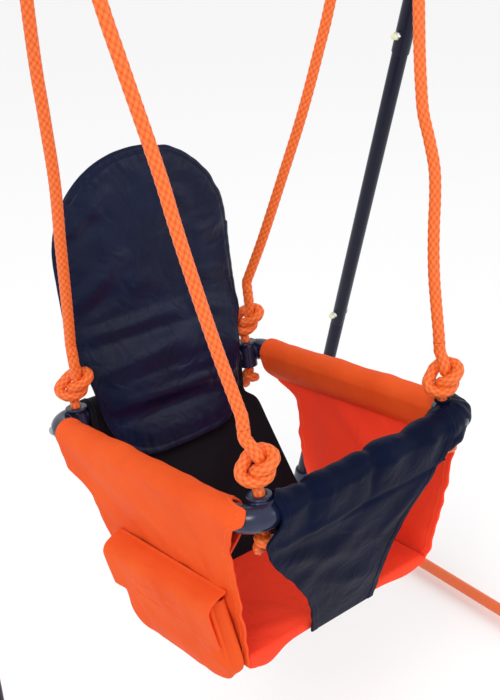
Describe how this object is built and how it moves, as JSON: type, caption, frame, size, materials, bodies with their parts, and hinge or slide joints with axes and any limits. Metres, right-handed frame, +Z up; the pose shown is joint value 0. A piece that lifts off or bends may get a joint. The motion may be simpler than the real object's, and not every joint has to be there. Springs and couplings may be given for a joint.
{
  "type": "toddler swing",
  "caption": "Free-standing toddler swing: a cloth bucket seat with a tall padded back hangs by knotted ropes from a bolted tube frame with splayed legs and floor bars.",
  "frame": {"origin": "on the floor, midway between the four feet", "axes": "+X to the left of the child in the seat, -Y to the front where the child faces, +Z up"},
  "size_m": [1.1874, 1.1878, 1.4125],
  "materials": {
    "navy_steel": "satin powder coat",
    "orange_steel": "satin powder coat",
    "dark_steel": "satin",
    "zinc": "zinc plated",
    "navy_plastic": "smooth moulded",
    "grey_plastic": "moulded",
    "orange_rope": "braided cord",
    "orange_cloth": "woven nylon",
    "navy_cloth": "woven nylon",
    "black_cloth": "woven nylon",
    "hook_and_loop": "hook-and-loop strip",
    "board": "pressed board"
  },
  "bodies": {
    "stand": {"top_bar": "navy_steel", "left_apex_bracket": "navy_plastic", "right_apex_bracket": "navy_plastic", "left_front_upper_leg": "navy_steel", "left_front_middle_leg": "navy_steel", "left_front_lower_leg": "navy_steel", "left_rear_upper_leg": "navy_steel", "left_rear_middle_leg": "navy_steel", "left_rear_lower_leg": "navy_steel", "right_front_upper_leg": "navy_steel", "right_front_middle_leg": "navy_steel", "right_front_lower_leg": "navy_steel", "right_rear_upper_leg": "navy_steel", "right_rear_middle_leg": "navy_steel", "right_rear_lower_leg": "navy_steel", "left_front_foot": "navy_plastic", "left_rear_foot": "navy_plastic", "right_front_foot": "navy_plastic", "right_rear_foot": "navy_plastic", "left_floor_bar": "orange_steel", "right_floor_bar": "orange_steel", "left_hanger_bracket": "dark_steel", "right_hanger_bracket": "dark_steel", "left_pivot_bolt": "zinc", "right_pivot_bolt": "zinc"},
    "swing": {"left_swing_link": "dark_steel", "left_pivot_bush": "navy_plastic", "left_rope_saddle": "navy_plastic", "left_saddle_rivet": "zinc", "left_rope": "orange_rope", "right_swing_link": "dark_steel", "right_pivot_bush": "navy_plastic", "right_rope_saddle": "navy_plastic", "right_saddle_rivet": "zinc", "right_rope": "orange_rope", "left_front_knot": "orange_rope", "left_rear_knot": "orange_rope", "right_front_knot": "orange_rope", "right_rear_knot": "orange_rope", "left_front_corner": "navy_plastic", "left_rear_corner": "navy_plastic", "right_front_corner": "navy_plastic", "right_rear_corner": "navy_plastic", "left_corner_plug": "grey_plastic", "right_corner_plug": "grey_plastic", "left_side_tube": "navy_steel", "right_side_tube": "navy_steel", "front_tube": "navy_steel", "rear_tube": "navy_steel", "left_side_panel": "orange_cloth", "right_side_panel": "orange_cloth", "front_panel": "navy_cloth", "back_panel": "black_cloth", "seat_base": "orange_cloth", "seat_board": "board", "backrest_pad": "navy_cloth", "pocket_pouch": "orange_cloth", "pouch_loop_strip": "hook_and_loop"},
    "pocket_lid": {"pocket_flap": "orange_cloth", "flap_hook_strip": "hook_and_loop"}
  },
  "joints": [
    {"name": "swing_hinge", "type": "hinge", "parent": "stand", "child": "swing", "pos_m": [0, 0, 1.35], "axis": [1, 0, 0], "range_deg": [-40, 40]},
    {"name": "pocket_flap_hinge", "type": "hinge", "parent": "swing", "child": "pocket_lid", "pos_m": [-0.157, -0.01399, 0.5445], "axis": [0, 0.9919, -0.1268], "range_deg": [0, 90]}
  ]
}
